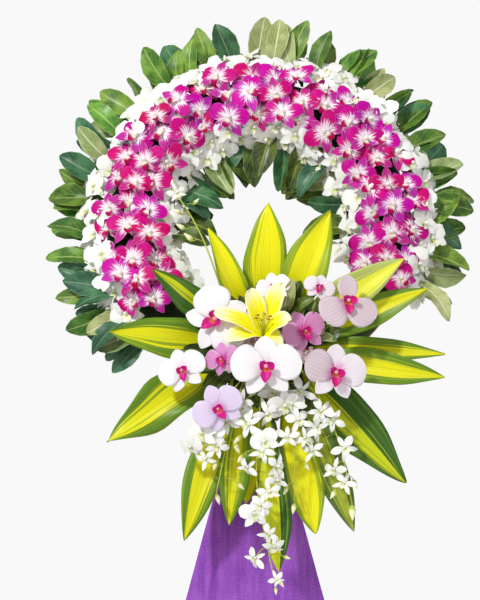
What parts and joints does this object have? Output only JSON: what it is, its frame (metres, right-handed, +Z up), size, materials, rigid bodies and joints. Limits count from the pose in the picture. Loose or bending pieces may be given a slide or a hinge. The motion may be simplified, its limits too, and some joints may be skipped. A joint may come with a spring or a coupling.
{
  "type": "funeral wreath on a stand",
  "caption": "Round orchid funeral wreath with leaf fringes and a focal bouquet, on a timber tripod dressed with a purple cloth skirt.",
  "frame": {"origin": "floor level, under the middle of the part's bounding box", "axes": "+Z up, +Y to the back, the wreath faces -Y, +X to the viewer's right"},
  "size_m": [0.8276, 0.5816, 1.5103],
  "materials": {
    "timber": "sawn, unpainted",
    "plywood": "sawn plywood",
    "purple_cloth": "matt woven cloth",
    "floral_foam": "matt, soaked",
    "tray_plastic": "moulded, slightly glossy",
    "galvanised_wire": "galvanised",
    "green_leaf": "glossy fresh leaf",
    "striped_leaf": "glossy fresh leaf, yellow with a green margin",
    "magenta_petal": "fresh petals, magenta with white throats",
    "white_petal_band": "fresh petals, cream white",
    "white_petal": "fresh petals, cream white",
    "bud_green": "fresh stem and buds",
    "orchid_petal": "fresh petals, white to lilac with a magenta lip",
    "lily_petal": "fresh petals, yellow to cream"
  },
  "bodies": {
    "root": {"front_leg_left": "timber", "front_leg_right": "timber", "mast": "timber", "front_rail": "timber", "purple_skirt": "purple_cloth", "ring_board": "plywood", "foam_ring": "floral_foam", "outer_leaves_1": "green_leaf", "outer_leaves_2": "green_leaf", "outer_leaves_3": "green_leaf", "inner_leaves_1": "green_leaf", "inner_leaves_2": "green_leaf", "outer_white_orchids_1": "white_petal_band", "outer_white_orchids_2": "white_petal_band", "magenta_orchids_1": "magenta_petal", "magenta_orchids_2": "magenta_petal", "magenta_orchids_3": "magenta_petal", "inner_white_orchids_1": "white_petal_band", "inner_white_orchids_2": "white_petal_band", "bouquet_tray": "tray_plastic", "bouquet_foam": "floral_foam", "binding_wire_left": "galvanised_wire", "binding_wire_right": "galvanised_wire", "striped_leaf_top_left": "striped_leaf", "striped_leaf_top_centre": "striped_leaf", "striped_leaf_top_right": "striped_leaf", "striped_leaf_upper_right": "striped_leaf", "striped_leaf_right_high": "striped_leaf", "striped_leaf_right_middle": "striped_leaf", "striped_leaf_right_low": "striped_leaf", "striped_leaf_lower_right": "striped_leaf", "striped_leaf_foot_right": "striped_leaf", "striped_leaf_foot_yellow": "striped_leaf", "striped_leaf_foot_centre": "striped_leaf", "striped_leaf_foot_inner": "striped_leaf", "striped_leaf_foot_left": "striped_leaf", "striped_leaf_lower_left": "striped_leaf", "striped_leaf_left_low": "striped_leaf", "striped_leaf_left_middle": "striped_leaf", "striped_leaf_left_high": "striped_leaf", "moth_orchid_front": "orchid_petal", "moth_orchid_far_left": "orchid_petal", "moth_orchid_inner_left": "orchid_petal", "moth_orchid_lower_left": "orchid_petal", "moth_orchid_pink": "orchid_petal", "moth_orchid_lower_right": "orchid_petal", "moth_orchid_upper_right": "orchid_petal", "moth_orchid_small_right": "orchid_petal", "moth_orchid_small_top": "orchid_petal", "moth_orchid_left": "orchid_petal", "lily": "lily_petal", "white_spray_centre": "white_petal", "white_spray_left": "white_petal", "white_spray_middle_right": "white_petal", "white_spray_right": "white_petal", "bud_spray": "bud_green", "rear_leg": "timber", "head_block": "timber", "rear_stay": "timber"}
  },
  "joints": []
}
